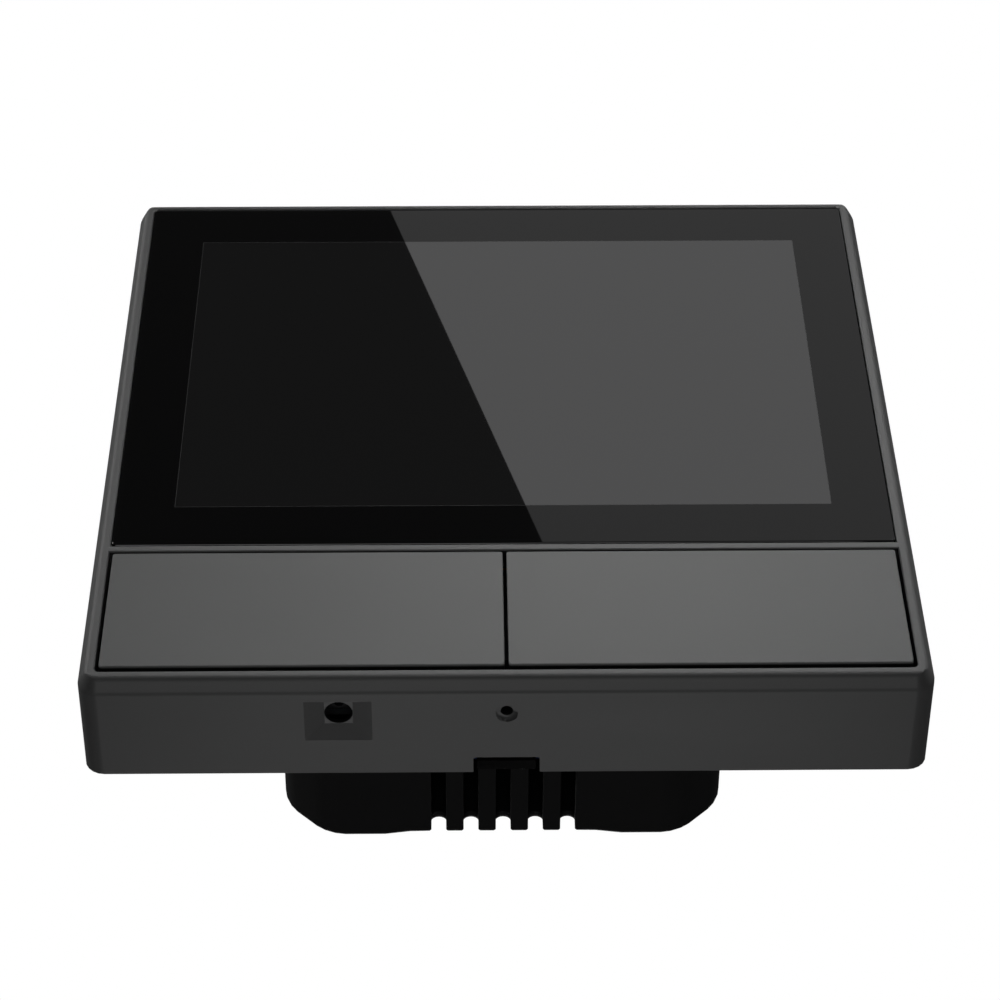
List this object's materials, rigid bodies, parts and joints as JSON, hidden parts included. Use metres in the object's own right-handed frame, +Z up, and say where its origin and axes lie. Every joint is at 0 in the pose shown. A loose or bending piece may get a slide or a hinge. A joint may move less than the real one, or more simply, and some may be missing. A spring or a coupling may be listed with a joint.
{
  "type": "wall touch panel with push keys",
  "caption": "Square flush wall panel with a black touch display above two wide push keys, and a vented rear box with terminals for a recessed wall box.",
  "frame": {"origin": "centre of the square panel on the wall plane, where the panel's rear rim and the mounting plate meet the wall", "axes": "+Z up the wall, +X to the right seen from the front, +Y into the wall, so the display faces -Y"},
  "size_m": [0.086, 0.0401, 0.086],
  "materials": {
    "charcoal_plastic": "fine matte moulded texture",
    "key_plastic": "fine matte moulded texture",
    "cover_glass": "polished, printed black behind",
    "display": "polariser film, switched off",
    "adhesive": "thin foam tape",
    "black_plastic": "matte flame-retardant moulding",
    "inner_plastic": "plain moulding",
    "coated_steel": "black coated sheet steel",
    "steel": "zinc plated",
    "spring_steel": "rolled spring strip",
    "tin_plate": "tinned sheet",
    "brass": "turned and nickel free",
    "black_board": "solder mask over laminate",
    "green_board": "solder mask over laminate",
    "component_black": "moulded epoxy",
    "switch_grey": "moulded nylon",
    "ribbon": "polyimide film",
    "relay_blue": "moulded case",
    "coil_tape": "wrapped polyester tape",
    "disc_blue": "dipped epoxy"
  },
  "bodies": {
    "base": {"header_socket": "component_black", "mounting_plate": "coated_steel", "base_box": "black_plastic", "base_lid": "inner_plastic", "power_board": "green_board", "relay_1": "relay_blue", "relay_2": "relay_blue", "transformer": "coil_tape", "capacitor_1": "component_black", "capacitor_2": "component_black", "varistor": "disc_blue", "fuse": "tin_plate", "terminal_block": "switch_grey", "plate_screw_1": "steel", "latch_tongue_1": "spring_steel", "plate_screw_2": "steel", "latch_tongue_2": "spring_steel", "plate_screw_3": "steel", "latch_tongue_3": "spring_steel", "plate_screw_4": "steel", "latch_tongue_4": "spring_steel", "terminal_screw_0": "steel", "terminal_cage_0": "brass", "terminal_screw_1": "steel", "terminal_cage_1": "brass", "terminal_screw_2": "steel", "terminal_cage_2": "brass", "terminal_screw_3": "steel", "terminal_cage_3": "brass"},
    "front_module": {"front_frame": "charcoal_plastic", "cover_glass": "cover_glass", "glass_tape": "adhesive", "lcd_panel": "display", "lcd_backlight": "tin_plate", "display_flex": "ribbon", "flex_connector": "switch_grey", "inner_chassis": "inner_plastic", "main_board": "black_board", "processor": "component_black", "radio_board": "black_board", "radio_shield": "tin_plate", "buzzer": "component_black", "temperature_sensor": "component_black", "module_back": "inner_plastic", "switch_left": "component_black", "switch_right": "component_black", "reset_switch": "component_black", "header_plug": "component_black", "module_screw_1": "steel", "module_screw_2": "steel", "module_screw_3": "steel", "module_screw_4": "steel"},
    "left_key": {"key_left": "key_plastic"},
    "right_key": {"key_right": "key_plastic"},
    "left_plunger": {"plunger_left": "switch_grey"},
    "right_plunger": {"plunger_right": "switch_grey"},
    "reset_button": {"reset_plunger": "component_black"}
  },
  "joints": [
    {"name": "module_pull_off", "type": "slide", "parent": "base", "child": "front_module", "axis": [0, -1, 0], "range_m": [0, 0.015]},
    {"name": "left_key_press", "type": "hinge", "parent": "front_module", "child": "left_key", "pos_m": [-0.0255, -0.009, -0.0212], "axis": [1, 0, 0], "range_deg": [0, 1.5], "stiffness_Nm_per_rad": 0.25, "springref_deg": -3.44},
    {"name": "right_key_press", "type": "hinge", "parent": "front_module", "child": "right_key", "pos_m": [0.0255, -0.009, -0.0212], "axis": [1, 0, 0], "range_deg": [0, 1.5], "stiffness_Nm_per_rad": 0.25, "springref_deg": -3.44},
    {"name": "left_plunger_slide", "type": "slide", "parent": "front_module", "child": "left_plunger", "axis": [0, 1, 0], "range_m": [0, 0.00034]},
    {"name": "right_plunger_slide", "type": "slide", "parent": "front_module", "child": "right_plunger", "axis": [0, 1, 0], "range_m": [0, 0.00034]},
    {"name": "reset_press", "type": "slide", "parent": "front_module", "child": "reset_button", "axis": [0, 0, 1], "range_m": [0, 0.00025], "stiffness_N_per_m": 800, "springref_m": -0.001}
  ],
  "couplings": [
    {"joint": "left_plunger_slide", "follows": "left_key_press", "m_per_rad": 0.0128},
    {"joint": "right_plunger_slide", "follows": "right_key_press", "m_per_rad": 0.0128}
  ]
}
